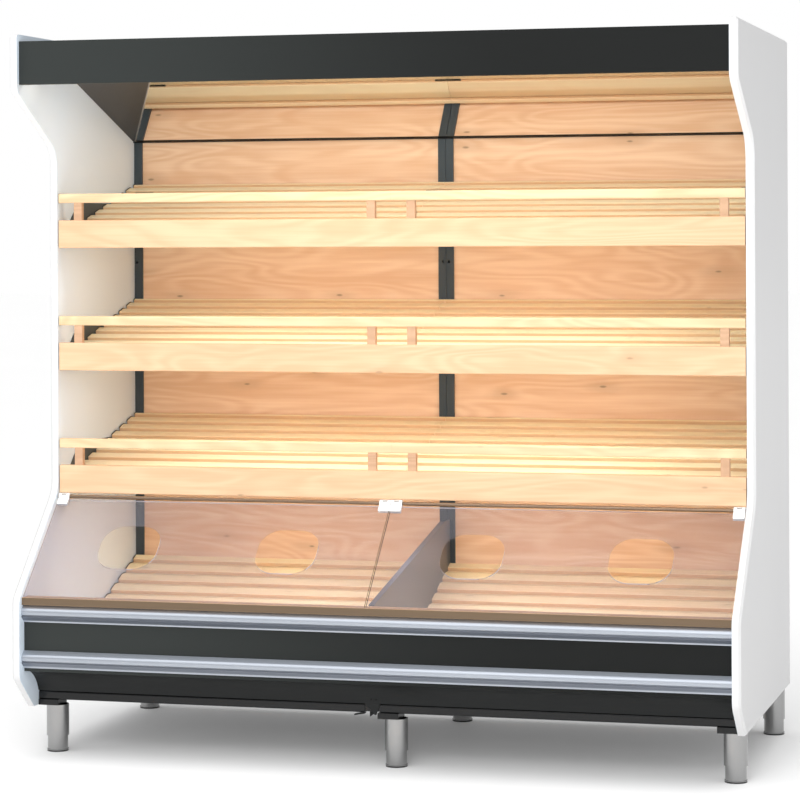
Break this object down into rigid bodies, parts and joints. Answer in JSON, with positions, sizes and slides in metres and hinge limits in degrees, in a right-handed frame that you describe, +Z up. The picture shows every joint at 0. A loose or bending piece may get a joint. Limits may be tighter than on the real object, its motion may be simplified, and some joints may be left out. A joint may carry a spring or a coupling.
{
  "type": "bakery shelving unit",
  "caption": "Self-service bread display: slatted wooden shelves over a slatted bin with tilting clear panes, between white side panels under a mirror canopy.",
  "frame": {"origin": "on the floor, under the middle of the unit", "axes": "+X to the right along the front, +Y from the front to the back, +Z up"},
  "size_m": [1.919, 0.925, 1.902],
  "materials": {
    "white_panel": "satin",
    "anthracite_sheet": "satin",
    "grey_sheet": "satin",
    "black_steel": "gloss",
    "bumper_aluminium": "satin anodised",
    "stainless_steel": "brushed",
    "light_wood": "oiled, fine grain",
    "mirror_glass": "polished",
    "clear_pane": "polished",
    "white_clip": "gloss",
    "lamp_body": "satin",
    "lamp_cover": "milky"
  },
  "bodies": {
    "cabinet": {"back_board_left": "light_wood", "back_board_right": "light_wood", "base_crossbars": "black_steel", "base_tray": "grey_sheet", "beam_coupler": "black_steel", "bin_divider": "anthracite_sheet", "bin_front_board": "light_wood", "bin_slats_left": "light_wood", "bin_slats_right": "light_wood", "bumper_lower": "bumper_aluminium", "bumper_upper": "bumper_aluminium", "canopy_fascia": "anthracite_sheet", "canopy_top": "anthracite_sheet", "ceiling_mirror": "mirror_glass", "cove_panel": "black_steel", "deck_bearers": "light_wood", "front_beam_left": "black_steel", "front_beam_right": "black_steel", "front_ledge": "light_wood", "guard_posts": "light_wood", "hinge_bar": "stainless_steel", "joint_plate": "anthracite_sheet", "kick_panel": "anthracite_sheet", "lamp_diffuser": "lamp_cover", "lamp_housing": "lamp_body", "leg_plates": "black_steel", "leg_tubes": "stainless_steel", "mirror_rail": "anthracite_sheet", "mirror_trim": "black_steel", "rear_beam": "black_steel", "rear_cover": "grey_sheet", "shelf_1_front_boards": "light_wood", "shelf_1_guard_rails": "light_wood", "shelf_1_slats_left": "light_wood", "shelf_1_slats_right": "light_wood", "shelf_2_front_boards": "light_wood", "shelf_2_guard_rails": "light_wood", "shelf_2_slats_left": "light_wood", "shelf_2_slats_right": "light_wood", "shelf_3_front_boards": "light_wood", "shelf_3_guard_rails": "light_wood", "shelf_3_slats_left": "light_wood", "shelf_3_slats_right": "light_wood", "shelf_brackets": "anthracite_sheet", "side_panel_left": "white_panel", "side_panel_right": "white_panel", "upright_left": "anthracite_sheet", "upright_right": "anthracite_sheet", "uprights_middle": "anthracite_sheet"},
    "tilting_pane_left": {"pane_left": "clear_pane", "clips_left": "white_clip"},
    "tilting_pane_right": {"pane_right": "clear_pane", "clips_right": "white_clip"},
    "screw_foot_front_left": {"foot_front_left": "stainless_steel"},
    "screw_foot_front_middle": {"foot_front_middle": "stainless_steel"},
    "screw_foot_front_right": {"foot_front_right": "stainless_steel"},
    "screw_foot_rear_left": {"foot_rear_left": "stainless_steel"},
    "screw_foot_rear_middle": {"foot_rear_middle": "stainless_steel"},
    "screw_foot_rear_right": {"foot_rear_right": "stainless_steel"}
  },
  "joints": [
    {"name": "pane_left_tilt", "type": "hinge", "parent": "cabinet", "child": "tilting_pane_left", "pos_m": [0, -0.188, 0.666], "axis": [-1, 0, 0], "range_deg": [0, 75]},
    {"name": "pane_right_tilt", "type": "hinge", "parent": "cabinet", "child": "tilting_pane_right", "pos_m": [0, -0.188, 0.666], "axis": [-1, 0, 0], "range_deg": [0, 75]},
    {"name": "foot_front_left_screw", "type": "slide", "parent": "cabinet", "child": "screw_foot_front_left", "axis": [0, 0, -1], "range_m": [0, 0.03]},
    {"name": "foot_front_middle_screw", "type": "slide", "parent": "cabinet", "child": "screw_foot_front_middle", "axis": [0, 0, -1], "range_m": [0, 0.03]},
    {"name": "foot_front_right_screw", "type": "slide", "parent": "cabinet", "child": "screw_foot_front_right", "axis": [0, 0, -1], "range_m": [0, 0.03]},
    {"name": "foot_rear_left_screw", "type": "slide", "parent": "cabinet", "child": "screw_foot_rear_left", "axis": [0, 0, -1], "range_m": [0, 0.03]},
    {"name": "foot_rear_middle_screw", "type": "slide", "parent": "cabinet", "child": "screw_foot_rear_middle", "axis": [0, 0, -1], "range_m": [0, 0.03]},
    {"name": "foot_rear_right_screw", "type": "slide", "parent": "cabinet", "child": "screw_foot_rear_right", "axis": [0, 0, -1], "range_m": [0, 0.03]}
  ]
}
